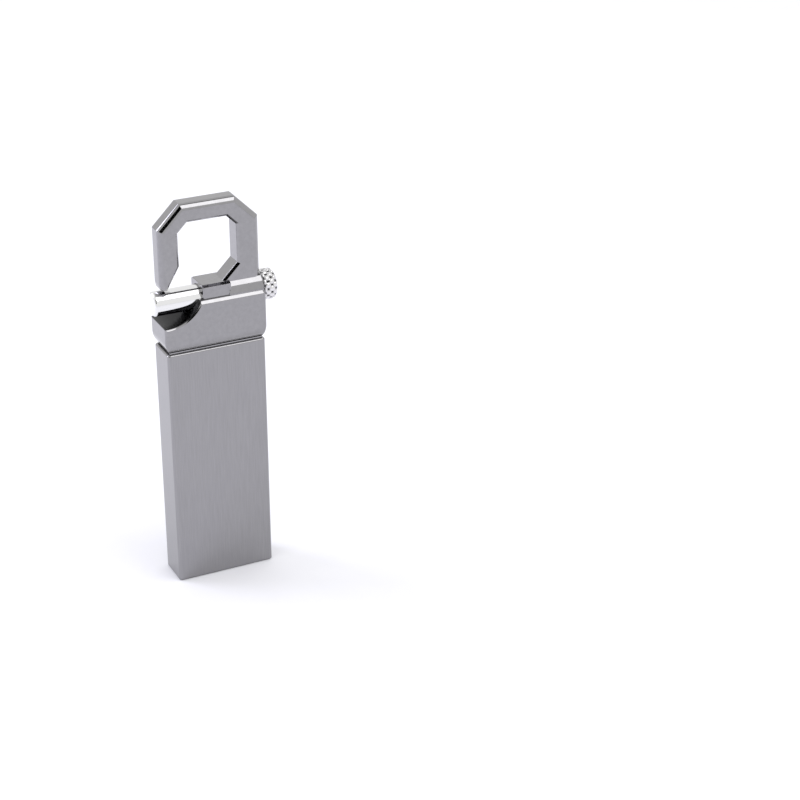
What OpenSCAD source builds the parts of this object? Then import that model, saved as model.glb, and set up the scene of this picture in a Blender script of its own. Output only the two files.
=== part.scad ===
// USB flash drive in a metal tube with a die-cast snap hook.
// It stands on its plug: +Z runs from the plug's open end to the hook, the
// gate pin's knob is at +X, and the contacts' insulator lies on the -Y side.
// The origin is the centre of the plug's end face. All sizes are millimetres.

/* [Tube body] */
// Outer width of the tube, which is also the plug's shell
body_w = 12; // [10:0.1:15]
// Outer thickness of the tube
body_t = 4.5; // [3.8:0.05:5.5]
// Length of the tube from the plug's mouth to the groove
body_len = 29.5; // [26:0.5:42]
// Sheet thickness of the tube
wall = 0.32; // [0.25:0.01:0.4]
// Radius of the tube's four long corners
body_corner_r = 0.4; // [0.3:0.05:0.6]
// Rounding of the tube's outer end edges
rim_round = 0.22; // [0.1:0.01:0.24]

/* [Head block] */
// How far the head stands proud of the tube on each side
head_over = 0.2; // [0.05:0.05:0.5]
// Open height of the groove between tube and head
groove_h = 0.2; // [0.1:0.05:0.8]
// Height of the head from the groove to its top ledge
head_h = 5.8; // [5:0.05:8]
// Radius of the head's turned-in lower edges
head_under_r = 2.3; // [1.5:0.1:2.3]
// Radius of the head's four upright corners
head_corner_r = 0.4; // [0.2:0.05:0.6]
// Rounding of the head's top ledge
ledge_round = 0.35; // [0.1:0.05:0.4]
// Length of the spigot that plugs the tube
spigot_len = 3.2; // [2:0.1:5]
// Gap around the spigot inside the tube
spigot_gap = 0.02; // [0.01:0.01:0.05]

/* [Hook] */
// Thickness of the hook
hook_t = 2.7; // [2:0.1:3.6]
// Outer width of the hook
hook_w = 12.1; // [10:0.1:15]
// Height of the eye
eye_h = 7.65; // [6:0.05:12]
// Bar width over the eye
bar_top = 2.2; // [1.6:0.1:3]
// Width of the gate-side arm
arm_gate = 2.35; // [1.8:0.05:2.8]
// Width of the knob-side arm
arm_knob = 2.75; // [1.8:0.05:3.2]
// Cut of the hook's outer corners
hook_cut = 2.75; // [1.5:0.05:3.5]
// Cut of the eye's upper corners
eye_cut = 1.15; // [0.6:0.05:1.8]
// Cut of the eye's lower corner on the knob side
eye_low_cut = 1.9; // [1:0.1:2.4]
// Bevel along the hook's outer edges
hook_bevel = 0.5; // [0.2:0.05:0.7]
// Bevel along the eye's edges
eye_bevel = 0.3; // [0.1:0.05:0.5]

/* [Gate and barrel] */
// Diameter of the gate pin
pin_d = 2.9; // [2.2:0.1:3.5]
// Radial clearance of the gate pin in its bore
pin_clear = 0.04; // [0.02:0.01:0.08]
// Wall of the barrel around the bore
barrel_wall = 0.65; // [0.5:0.05:0.9]
// Wall of the squared saddle in front of the bore
saddle_wall = 0.42; // [0.35:0.01:0.8]
// Metal between the bore and the floor of the eye
bore_roof = 0.36; // [0.25:0.01:0.8]
// Depth of the pin's axis below the head's ledge
pin_drop = 0.25; // [0:0.05:0.6]
// Place of the bore's mouth across the head
mouth_x = -1.3; // [-2:0.05:-0.5]
// Radius of the finger scoop under the pin
scoop_r = 4.6; // [4.5:0.1:6]
// Gap between the pin and the scoop's floor
scoop_gap = 0.95; // [0.6:0.05:1.2]
// Bevel along the scoop's edges
scoop_bevel = 0.2; // [0.1:0.05:0.4]
// Gap between the pin and the tip of the hook
tip_gap = 0.4; // [0.2:0.05:0.8]
// Width of the flat tip of the hook
tip_w = 0.75; // [0.3:0.05:0.9]
// Thickness of the barrel's end wall
end_wall = 0.8; // [0.6:0.05:1.2]

/* [Gate pin, knob and spring] */
// How far the pin's nose stands out of the head's side
pin_proud = 0.65; // [0:0.05:1.5]
// Length of pin that stays guided in the bore at rest
pin_guide = 1.1; // [0.8:0.1:1.6]
// Rounding of the pin's nose
nose_round = 0.3; // [0.1:0.05:0.6]
// Diameter of the thin stem that pulls the pin
stem_d = 1.2; // [0.9:0.1:1.4]
// Radial clearance of the stem in the end wall
stem_clear = 0.05; // [0.02:0.01:0.08]
// Diameter of the knob
knob_d = 3.7; // [3:0.1:4.5]
// Length of the knob
knob_len = 1.8; // [1.4:0.1:3]
// Rounding of the knob's outer edge
knob_round = 0.5; // [0.2:0.05:0.8]
// Wire diameter of the return spring
wire_d = 0.28; // [0.2:0.02:0.34]
// Full turns of the return spring
spring_turns = 4; // [3:1:5]
// Radial gap between the spring and the bore
spring_gap = 0.14; // [0.08:0.02:0.2]

/* [Plug interior] */
// Step back of the insulator behind the plug's rim
insulator_step = 0.35; // [0.2:0.05:0.6]
// Depth of the plug's open chamber
chamber_len = 11.8; // [11:0.1:13]
// Thickness of the insulator's tongue
tongue_t = 1.87; // [1.7:0.01:2]
// Length of the insulator's base behind the chamber
base_len = 2.5; // [2:0.1:3.5]
// Gap between the insulator and the tube
fit_gap = 0.03; // [0.01:0.01:0.05]
// Width of each flat contact
contact_w = 1; // [0.8:0.05:1.2]
// Thickness of each flat contact
contact_t = 0.2; // [0.15:0.01:0.25]
// Width of each high-speed spring contact
fast_w = 0.8; // [0.6:0.05:1]
// Thickness of each high-speed spring contact
fast_t = 0.15; // [0.1:0.01:0.2]
// Spacing of the high-speed contacts
fast_pitch = 2; // [1.8:0.1:2]

/* [Circuit board] */
// Thickness of the circuit board
board_t = 0.6; // [0.5:0.05:0.7]
// Length of the circuit board
board_len = 10.2; // [9.8:0.1:10.4]
// Width of the carriers' side rails
rail_w = 0.68; // [0.5:0.02:0.9]
// Thickness of the upper carrier's roof
roof_t = 0.35; // [0.25:0.05:0.5]
// Side of the square controller chip
controller_w = 5; // [4:0.1:5]
// Thickness of the controller chip
controller_t = 0.8; // [0.6:0.05:0.85]
// Length of the memory chip along the drive
memory_len = 6.2; // [5:0.1:6.3]
// Thickness of the memory chip
memory_t = 1; // [0.8:0.05:1.2]

/* [Hidden] */
$fn = 64;

// Cutters run this far past the face they cut.
over = 1;
// Short overlap of pieces that are joined or cut along one plane
lap = 0.02;
// Half length of the blocks that cut bevels, longer than any edge
reach = 30;

// Inside of the tube
cavity_w = body_w - 2 * wall;
cavity_t = body_t - 2 * wall;
cavity_corner_r = max(body_corner_r - wall, 0.05);

// Head block
head_w = body_w + 2 * head_over;
head_t = body_t + 2 * head_over;
spigot_w = cavity_w - 2 * spigot_gap;
spigot_t = cavity_t - 2 * spigot_gap;
spigot_z = body_len - spigot_len;
head_z = body_len + groove_h;
ledge_z = head_z + head_h;
under_in = (head_w - spigot_w) / 2;
under_h = sqrt(head_under_r * head_under_r - pow(head_under_r - under_in, 2));

// Barrel and gate
pin_r = pin_d / 2;
bore_r = pin_r + pin_clear;
stem_r = stem_d / 2;
pin_z = ledge_z - pin_drop;
barrel_r = bore_r + barrel_wall;
barrel_end_x = head_w / 2;
barrel_chamfer = 0.2;
saddle_t = 2 * (bore_r + saddle_wall);
saddle_round = 0.12;
bore_end_x = barrel_end_x - end_wall;
scoop_floor_z = pin_z - pin_r - scoop_gap;
scoop_x = mouth_x - scoop_r;
scoop_z = scoop_floor_z + scoop_r;

// Hook and eye
hook_x = hook_w / 2;
eye_x0 = -hook_x + arm_gate;
eye_x1 = hook_x - arm_knob;
eye_z0 = pin_z + bore_r + bore_roof;
eye_z1 = eye_z0 + eye_h;
hook_z1 = eye_z1 + bar_top;
tip_z = pin_z + pin_r + tip_gap;
// The arm narrows to its tip by a short outer slope and a long inner one.
outer_slope = [0.1, 0.6];
inner_slope_h = 2.6;
tip_x0 = -hook_x + outer_slope[0];
tip_x1 = tip_x0 + tip_w;
// The barrel starts under the eye's lower corner on the knob side.
barrel_inset = 0.4;
barrel_x = eye_x1 - eye_low_cut + barrel_inset;
barrel_round = 0.3;

// Gate pin, knob and spring
nose_x = -head_w / 2 - pin_proud;
shoulder_x = mouth_x + pin_guide;
seat_gap = 0.02;
knob_x = barrel_end_x + seat_gap;
stem_grip = 1.2;
spring_x0 = shoulder_x + seat_gap + wire_d / 2;
spring_x1 = bore_end_x - seat_gap - wire_d / 2;
spring_r = bore_r - spring_gap - wire_d / 2;
spring_steps = 18;
spring_sides = 8;

// Plug interior: the tongue's contact face looks towards +Y.
insulator_w = cavity_w - 2 * fit_gap;
tongue_y0 = -cavity_t / 2 + fit_gap;
tongue_y1 = tongue_y0 + tongue_t;
chamber_y1 = cavity_t / 2 - fit_gap;
base_z1 = chamber_len + base_len;
layer_gap = 0.02;
slot_gap = 0.02;
contact_y1 = tongue_y1 + layer_gap;
contact_y0 = contact_y1 - contact_t;
// The outer pair of flat contacts reaches further forward.
contact_x = [-3.5, -1, 1, 3.5];
contact_z0 = [1.3, 2.3, 2.3, 1.3];
contact_nose = 0.35;
contact_edge = 0.02;
fast_x = [for (i = [-2 : 2]) i * fast_pitch];
tail_len = 1.8;
foot_len = 0.7;
foot_step = 0.25;
tail_gap = 0.5;
fast_back_z = base_z1 + tail_len + tail_gap;
fast_lift = 0.4;
fast_mid_y = contact_y1 + fast_lift;
// The sprung ends lift from the tongue by tip and crown, over these lengths.
fast_tip = [0.12, 3.4];
fast_crown = [0.75, 2.6];
fast_root = 1;

// Circuit board and the parts on it
board_y1 = contact_y0 - layer_gap;
board_y0 = board_y1 - board_t;
board_gap = 0.1;
board_z0 = base_z1 + board_gap;
board_z1 = board_z0 + board_len;
board_side = 0.3;
board_w = insulator_w - 2 * board_side;
board_corner_r = 0.3;
rail_x = insulator_w / 2 - rail_w;
back_bar = 0.6;
carrier_z1 = board_z1 + back_bar;
part_gap = 0.15;
part_x = rail_x - part_gap;
solder_gap = 0.02;
controller_front = 2.2;
controller_z = board_z0 + controller_front;
row_gap = 0.35;
row_z = controller_z + controller_w + row_gap;
memory_inset = 0.2;
front_row = 0.3;
crystal_size = [3.2, 0.7, 2.2];
regulator_size = [1.6, 0.8, 2.9];
protector_size = [2, 0.5, 1.2];
chip_cap = [0.5, 0.45, 1];
chip_res = [0.5, 0.3, 1];
chip_pitch = 0.8;
bead_size = [0.8, 0.7, 1.5];
bead_pitch = 1.1;
solder_size = 0.35;
roof_front = 0.7;
adhesive_side = 1.5;
adhesive_face = 0.4;
adhesive_r = 0.5;

// Flat shape of w by h about its centre, with true round corners of radius r
module rounded_rect(w, h, r) {
    square([w - 2 * r, h], center = true);
    square([w, h - 2 * r], center = true);
    for (sx = [-1, 1], sy = [-1, 1])
        translate([sx * (w / 2 - r), sy * (h / 2 - r)]) circle(r);
}

// Prism along X of a flat shape drawn in Y and Z
module along_x(length) {
    rotate([90, 0, 90]) linear_extrude(length, center = true) children();
}

// Prism along Y of a flat shape drawn in X and Z
module along_y(length) {
    rotate([90, 0, 0]) linear_extrude(length, center = true) children();
}

// Box by its low corner and its size
module box(low, size) {
    translate(low) cube(size);
}

// Drawn steel tube: plug shell and body in one
module plug_shell() {
    side = body_t + 2 * over;
    color("#98979b")
    difference() {
        intersection() {
            linear_extrude(body_len) rounded_rect(body_w, body_t, body_corner_r);
            along_y(side) translate([0, body_len / 2])
                rounded_rect(body_w, body_len, rim_round);
            along_x(body_w + 2 * over) translate([0, body_len / 2])
                rounded_rect(body_t, body_len, rim_round);
        }
        translate([0, 0, -over]) linear_extrude(body_len + 2 * over)
            rounded_rect(cavity_w, cavity_t, cavity_corner_r);
    }
}

// Upright outline of the head block, w wide, with turned-in lower edges
module head_outline(w) {
    round_h = 2 * head_under_r + over;
    arc_z = head_z + under_h;
    upper_h = head_h - under_h;
    difference() {
        translate([0, arc_z - head_under_r + round_h / 2]) rounded_rect(w, round_h, head_under_r);
        translate([-w, head_z - w]) square([2 * w, w]);
    }
    translate([0, ledge_z - upper_h / 2]) rounded_rect(w, upper_h, ledge_round);
    translate([-w / 2, arc_z]) square([w, upper_h / 2]);
}

module head_block() {
    intersection() {
        along_y(head_t + 2 * over) head_outline(head_w);
        along_x(head_w + 2 * over) head_outline(head_t);
        translate([0, 0, head_z]) linear_extrude(head_h)
            rounded_rect(head_w, head_t, head_corner_r);
    }
}

module head_spigot() {
    translate([0, 0, spigot_z]) linear_extrude(head_z + ledge_round - spigot_z)
        rounded_rect(spigot_w, spigot_t, cavity_corner_r);
}

// Round barrel behind the knob: a rounded shoulder at its inner end, a small
// chamfer at the outer one
module barrel() {
    length = barrel_end_x - barrel_x;
    translate([barrel_x, 0, pin_z]) rotate([0, 90, 0]) rotate_extrude() {
        polygon([
            [0, 0], [barrel_r - barrel_round, 0], [barrel_r, barrel_round],
            [barrel_r, length - barrel_chamfer], [barrel_r - barrel_chamfer, length], [0, length]
        ]);
        intersection() {
            translate([barrel_r - barrel_round, barrel_round]) circle(barrel_round);
            square(barrel_r);
        }
    }
}

// Squared stretch of the barrel under the eye
module saddle() {
    length = barrel_x + barrel_round - mouth_x;
    translate([mouth_x + length / 2, 0, 0]) along_x(length)
        translate([0, (eye_z0 + pin_z) / 2])
            rounded_rect(saddle_t, eye_z0 - pin_z, saddle_round);
}

// Cylinder scooped out under the gate pin, bevelled at both faces
module scoop() {
    bevel_h = scoop_bevel + over;
    translate([scoop_x, 0, scoop_z]) rotate([90, 0, 0]) {
        cylinder(r = scoop_r, h = head_t + 2 * over, center = true);
        for (side = [0, 1]) mirror([0, 0, side])
            translate([0, 0, head_t / 2 - scoop_bevel])
                cylinder(r1 = scoop_r, r2 = scoop_r + bevel_h, h = bevel_h);
    }
}

// Outer outline of the hook, clockwise from its upper left corner
function hook_outline() =
    let (x = hook_x, top = hook_z1)
    [
        [-x, top - hook_cut], [-x + hook_cut, top], [x - hook_cut, top], [x, top - hook_cut],
        [x, pin_z], [tip_x0, tip_z], [-x, tip_z + outer_slope[1]]
    ];

// Outline of the eye, drawn out by grow
function eye_outline(grow) =
    let (
        cut = eye_cut + (2 - sqrt(2)) * grow,
        low = eye_low_cut + (2 - sqrt(2)) * grow,
        x0 = eye_x0 - grow, x1 = eye_x1 + grow, z0 = eye_z0 - grow, z1 = eye_z1 + grow
    )
    [
        [x0, z0], [x0, z1 - cut], [x0 + cut, z1], [x1 - cut, z1],
        [x1, z1 - cut], [x1, z0 + low], [x1 - low, z0]
    ];

// Block on the outer side of an outline's edge from p to q. Its face passes
// through the edge at height y and leans by tilt from the outline's side wall.
module lean_block(p, q, y, tilt) {
    translate([p[0], y, p[1]]) rotate([0, -atan2(q[1] - p[1], q[0] - p[0]), 0])
        rotate([tilt, 0, 0]) translate([-reach, -reach, 0]) cube([2 * reach, 2 * reach, reach]);
}

// Plate of the hook, bevelled at 45 degrees along its outer edges
module hook_blank() {
    outline = hook_outline();
    last = len(outline) - 1;
    difference() {
        along_y(hook_t) polygon(outline);
        for (side = [0, 1]) mirror([0, side, 0]) {
            for (i = [0 : 3])
                lean_block(outline[i], outline[i + 1], hook_t / 2 - hook_bevel, -45);
            lean_block(outline[last - 1], outline[last], hook_t / 2 - hook_bevel, -45);
            lean_block(outline[last], outline[0], hook_t / 2 - hook_bevel, -45);
        }
    }
}

// Space inside the hook: the eye with its bevels
module eye_space() {
    depth = head_t + 2 * over;
    outline = eye_outline(0);
    count = len(outline);
    along_y(depth) polygon(outline);
    for (side = [0, 1]) mirror([0, side, 0]) {
        translate([0, (hook_t + depth) / 2, 0]) along_y(depth) polygon(eye_outline(eye_bevel));
        difference() {
            translate([0, (hook_t - eye_bevel) / 2, 0]) along_y(eye_bevel + lap)
                polygon(eye_outline(eye_bevel));
            for (i = [0 : count - 1])
                lean_block(outline[i], outline[(i + 1) % count], hook_t / 2 - eye_bevel, 45);
        }
    }
}

// Way into the eye past the pin, between the tip of the hook and the saddle
module gate_space() {
    top_z = tip_z + inner_slope_h;
    along_y(hook_t + 2 * over) polygon([
        [tip_x1, pin_z - over], [tip_x1, tip_z], [eye_x0, top_z],
        [mouth_x, top_z], [mouth_x, pin_z - over]
    ]);
}

// Stepped bore: wide for the pin and its spring, narrow for the stem. The wide
// stretch starts outside the head, so it also clears the wall of the scoop.
module pin_bore() {
    translate([-barrel_end_x - over, 0, pin_z]) rotate([0, 90, 0])
        cylinder(r = bore_r, h = bore_end_x + barrel_end_x + over);
    translate([bore_end_x - over, 0, pin_z]) rotate([0, 90, 0])
        cylinder(r = stem_r + stem_clear, h = end_wall + 2 * over);
}

// One zinc die-casting: spigot, head, barrel and hook
module hook_head() {
    color("#98979b")
    difference() {
        union() {
            difference() {
                union() {
                    head_block();
                    barrel();
                    saddle();
                }
                scoop();
            }
            head_spigot();
            difference() {
                hook_blank();
                gate_space();
            }
        }
        eye_space();
        pin_bore();
    }
}

// Half profile of a turned piece: radius r, length h, its low edge rounded
module turned_profile(r, h, edge) {
    square([r - edge, h]);
    translate([0, edge]) square([r, h - edge]);
    translate([r - edge, edge]) circle(edge);
}

// Turned pin that closes the hook, with the stem that pulls it back
module lock_pin() {
    stem_len = knob_x + stem_grip - shoulder_x;
    color("#e4e4e6")
    translate([nose_x, 0, pin_z]) rotate([0, 90, 0]) {
        rotate_extrude() turned_profile(pin_r, shoulder_x - nose_x, nose_round);
        translate([0, 0, shoulder_x - nose_x]) cylinder(r = stem_r, h = stem_len);
    }
}

// Knob pressed on the stem
module pin_knob() {
    color("#d8d8da")
    translate([knob_x + knob_len, 0, pin_z]) rotate([0, -90, 0]) difference() {
        rotate_extrude() turned_profile(knob_d / 2, knob_len, knob_round);
        translate([0, 0, knob_len - stem_grip]) cylinder(r = stem_r, h = stem_grip + over);
    }
}

// Point of the spring's wire surface at step i of the helix and side j
function spring_point(i, j) =
    let (
        turn = 360 * i / spring_steps,
        side = 360 * j / spring_sides,
        r = spring_r + wire_d / 2 * cos(side),
        rise = (spring_x1 - spring_x0) * i / (spring_steps * spring_turns)
    )
    [spring_x0 + rise + wire_d / 2 * sin(side), r * sin(turn), pin_z + r * cos(turn)];

// Return spring around the stem, between the pin's shoulder and the end wall
module pin_spring() {
    rings = spring_steps * spring_turns + 1;
    points = [for (i = [0 : rings - 1], j = [0 : spring_sides - 1]) spring_point(i, j)];
    walls = [
        for (i = [0 : rings - 2], j = [0 : spring_sides - 1])
            let (a = i * spring_sides, b = a + spring_sides, k = (j + 1) % spring_sides)
            [a + j, b + j, b + k, a + k]
    ];
    first = [for (j = [0 : spring_sides - 1]) j];
    last = [for (j = [0 : spring_sides - 1]) rings * spring_sides - 1 - j];
    color("#c9ccd1") polyhedron(points, concat(walls, [first, last]));
}

// Blue moulded tongue and base, grooved for the flat contacts
module contact_insulator() {
    chamfer = 0.3;
    color("#4f63e6")
    difference() {
        along_x(insulator_w) polygon([
            [tongue_y0, insulator_step], [tongue_y1 - chamfer, insulator_step],
            [tongue_y1, insulator_step + chamfer], [tongue_y1, base_z1], [tongue_y0, base_z1]
        ]);
        for (i = [0 : len(contact_x) - 1])
            box(
                [contact_x[i] - contact_w / 2 - slot_gap, contact_y0 - slot_gap, contact_z0[i] - slot_gap],
                [contact_w + 2 * slot_gap, contact_t + over, base_z1 + over]
            );
    }
}

// Four gold-plated flat contacts, whose tails lie on the circuit board
module flat_contacts() {
    back_z = board_z0 + tail_len;
    color("#d9b24a")
    for (i = [0 : len(contact_x) - 1])
        translate([contact_x[i], 0, 0]) along_x(contact_w) polygon([
            [contact_y0, contact_z0[i]], [contact_y0 + contact_edge, contact_z0[i]],
            [contact_y1, contact_z0[i] + contact_nose], [contact_y1, back_z], [contact_y0, back_z]
        ]);
}

// Strip of thickness t bent along a path of [y, z] points
module bent_strip(path, t) {
    for (i = [0 : len(path) - 2]) {
        step = path[i + 1] - path[i];
        translate(path[i]) rotate(atan2(step[1], step[0]))
            translate([0, -t / 2]) square([norm(step), t]);
    }
    for (point = path) translate(point) circle(t / 2);
}

// Middle line of a sprung contact, from its tip to its foot on the board
function fast_path() = [
    [contact_y1 + fast_tip[0], chamber_len - fast_tip[1]],
    [contact_y1 + fast_crown[0], chamber_len - fast_crown[1]],
    [fast_mid_y, chamber_len - fast_root],
    [fast_mid_y, fast_back_z],
    [board_y1 + layer_gap + fast_t / 2, fast_back_z + foot_step],
    [board_y1 + layer_gap + fast_t / 2, fast_back_z + foot_step + foot_len]
];

// Five sprung contacts for the high-speed lines
module fast_contacts() {
    color("#d9b24a")
    for (x = fast_x)
        translate([x, 0, 0]) along_x(fast_w) bent_strip(fast_path(), fast_t);
}

// Moulded carrier that holds the sprung contacts above the insulator's base
module fast_carrier() {
    low_y = contact_y1 + layer_gap;
    color("#1c1d20")
    difference() {
        box(
            [-insulator_w / 2, low_y, chamber_len],
            [insulator_w, chamber_y1 - low_y, base_len]
        );
        for (x = fast_x)
            box(
                [x - fast_w / 2 - slot_gap, fast_mid_y - fast_t / 2 - slot_gap, chamber_len - over],
                [fast_w + 2 * slot_gap, fast_t + 2 * slot_gap, base_len + 2 * over]
            );
    }
}

module circuit_board() {
    color("#1f6b45")
    translate([0, (board_y0 + board_y1) / 2, (board_z0 + board_z1) / 2])
        along_y(board_t) rounded_rect(board_w, board_len, board_corner_r);
}

// Package on the face of the board that looks to -Y, by its left and low edges
module rear_part(x, z, size) {
    box([x, board_y0 - solder_gap - size[1], z], size);
}

module controller_chip() {
    color("#232427")
    rear_part(-part_x, controller_z, [controller_w, controller_t, controller_w]);
}

module memory_chip() {
    color("#202124")
    box(
        [-part_x, board_y1 + solder_gap, board_z1 - memory_len - memory_inset],
        [2 * part_x, memory_t, memory_len]
    );
}

// Quartz crystal in a plated can
module clock_crystal() {
    color("#b9bbbf")
    rear_part(-part_x, row_z, crystal_size);
}

module voltage_regulator() {
    color("#26272a")
    rear_part(part_x - regulator_size[0], controller_z, regulator_size);
}

module surge_protector() {
    color("#2a2b2e")
    rear_part(-protector_size[0] / 2, board_z0 + front_row, protector_size);
}

// Chip capacitors: three beside the regulator and three beside the crystal
module capacitors() {
    color("#9a7b5c")
    for (i = [0 : 2]) {
        x = part_x - chip_cap[0] - i * chip_pitch;
        rear_part(x, row_z, chip_cap);
        rear_part(x, controller_z + regulator_size[2] + row_gap, chip_cap);
    }
}

// Chip resistors in a row in front of the controller
module resistors() {
    color("#2b2b2e")
    for (i = [0 : 2])
        rear_part(-part_x + i * chip_pitch, board_z0 + front_row, chip_res);
}

// Ferrite beads in the supply lines
module ferrite_beads() {
    color("#3c3d40")
    for (i = [0 : 1])
        rear_part(part_x - bead_size[0] - i * bead_pitch, board_z0 + front_row, bead_size);
}

// Solder fillet of width w behind a contact's tail that ends at z
module solder_fillet(x, z, w) {
    low_y = board_y1 + solder_gap / 2;
    translate([x, 0, z + solder_gap / 2]) along_x(w)
        polygon([[low_y, 0], [low_y + solder_size, 0], [low_y, solder_size]]);
}

// Solder fillets at the ends of all nine contact tails
module solder_joints() {
    color("#b4b7bc") {
        for (x = contact_x) solder_fillet(x, board_z0 + tail_len, contact_w);
        for (x = fast_x) solder_fillet(x, fast_back_z + foot_step + foot_len + fast_t / 2, fast_w);
    }
}

// Frame that clamps the board from its -Y side: two rails and a back bar
module lower_carrier() {
    low_y = tongue_y0;
    high_y = board_y0 - layer_gap;
    color("#17181a")
    difference() {
        box(
            [-insulator_w / 2, low_y, board_z0],
            [insulator_w, high_y - low_y, carrier_z1 - board_z0]
        );
        box(
            [-rail_x, low_y - over, board_z0 - over],
            [2 * rail_x, high_y - low_y + 2 * over, board_len + over]
        );
    }
}

// Cover over the board's +Y side: rails, back bar and roof
module upper_carrier() {
    low_y = board_y1 + layer_gap;
    front_z = fast_back_z + foot_len + roof_front;
    roof_y = chamber_y1 - roof_t;
    color("#17181a")
    difference() {
        box(
            [-insulator_w / 2, low_y, board_z0],
            [insulator_w, chamber_y1 - low_y, carrier_z1 - board_z0]
        );
        box(
            [-rail_x, low_y - over, board_z0 - over],
            [2 * rail_x, roof_y - low_y + over, board_len + over]
        );
        box(
            [-rail_x, roof_y - over, board_z0 - over],
            [2 * rail_x, roof_t + 2 * over, front_z - board_z0 + over]
        );
    }
}

// Cured adhesive that fixes the module to the head's spigot
module module_adhesive() {
    low_z = carrier_z1 + seat_gap;
    color("#d8cfa6")
    translate([0, 0, low_z]) linear_extrude(spigot_z - seat_gap - low_z)
        rounded_rect(cavity_w - 2 * adhesive_side, cavity_t - 2 * adhesive_face, adhesive_r);
}

plug_shell();
hook_head();
lock_pin();
pin_knob();
pin_spring();
contact_insulator();
flat_contacts();
fast_carrier();
fast_contacts();
circuit_board();
controller_chip();
memory_chip();
clock_crystal();
voltage_regulator();
surge_protector();
capacitors();
resistors();
ferrite_beads();
solder_joints();
lower_carrier();
upper_carrier();
module_adhesive();
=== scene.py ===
"""A USB flash drive with a cast snap hook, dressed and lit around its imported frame.

All lengths are millimetres, turned to metres by MM where Blender takes them.
"""

import math

import bmesh
import bpy
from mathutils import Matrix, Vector


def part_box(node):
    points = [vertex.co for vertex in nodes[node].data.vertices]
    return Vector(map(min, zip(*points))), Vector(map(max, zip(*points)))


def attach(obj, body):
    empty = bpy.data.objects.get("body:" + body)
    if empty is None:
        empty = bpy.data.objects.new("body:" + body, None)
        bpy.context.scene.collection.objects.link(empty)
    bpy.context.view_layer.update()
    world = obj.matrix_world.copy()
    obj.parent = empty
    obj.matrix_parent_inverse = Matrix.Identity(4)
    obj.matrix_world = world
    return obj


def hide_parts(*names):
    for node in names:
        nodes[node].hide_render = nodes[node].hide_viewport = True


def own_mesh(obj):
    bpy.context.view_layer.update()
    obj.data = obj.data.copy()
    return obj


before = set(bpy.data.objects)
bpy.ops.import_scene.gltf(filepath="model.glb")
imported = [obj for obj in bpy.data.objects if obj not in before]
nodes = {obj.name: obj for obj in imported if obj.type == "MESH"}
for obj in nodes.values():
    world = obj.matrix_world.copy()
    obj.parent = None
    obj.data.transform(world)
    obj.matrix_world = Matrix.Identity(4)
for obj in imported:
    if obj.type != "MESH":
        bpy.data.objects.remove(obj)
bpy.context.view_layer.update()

MM = 0.001


# ---------------------------------------------------------------- tube body
# The body is one drawn steel tube, which is also the plug's shell. It is cut
# to length, its rims are tumbled round, and it is plated in polished gunmetal.

def linear(code):
    """sRGB hex colour as a linear RGBA tuple."""
    channels = [int(code[i:i + 2], 16) / 255 for i in (1, 3, 5)]
    return (*[c / 12.92 if c <= 0.04045 else ((c + 0.055) / 1.055) ** 2.4 for c in channels], 1)


def new_material(name):
    """Empty node material and its tree."""
    made = bpy.data.materials.new(name)
    made.use_nodes = True
    made.node_tree.nodes.clear()
    return made, made.node_tree


def add(tree, kind, sockets=None, **settings):
    """One shader node with its settings. A socket value that is a socket is linked."""
    node = tree.nodes.new("ShaderNode" + kind)
    for name, value in settings.items():
        setattr(node, name, value)
    for name, value in (sockets or {}).items():
        if isinstance(value, bpy.types.NodeSocket):
            tree.links.new(value, node.inputs[name])
        else:
            node.inputs[name].default_value = value
    return node


def per_metre(size_mm):
    """Texture scale that repeats about once in size_mm of an object in metres."""
    return 1 / (size_mm * MM)


HAZE_PATCH = 6
# A surface gets painted shade where others stand nearer to it than this.
RECESS_REACH = 1.2
# Distances outside the scoop's wall over which its rougher finish and painted shade end.
SCOOP_FADE = (0.02, 0.1)


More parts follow.
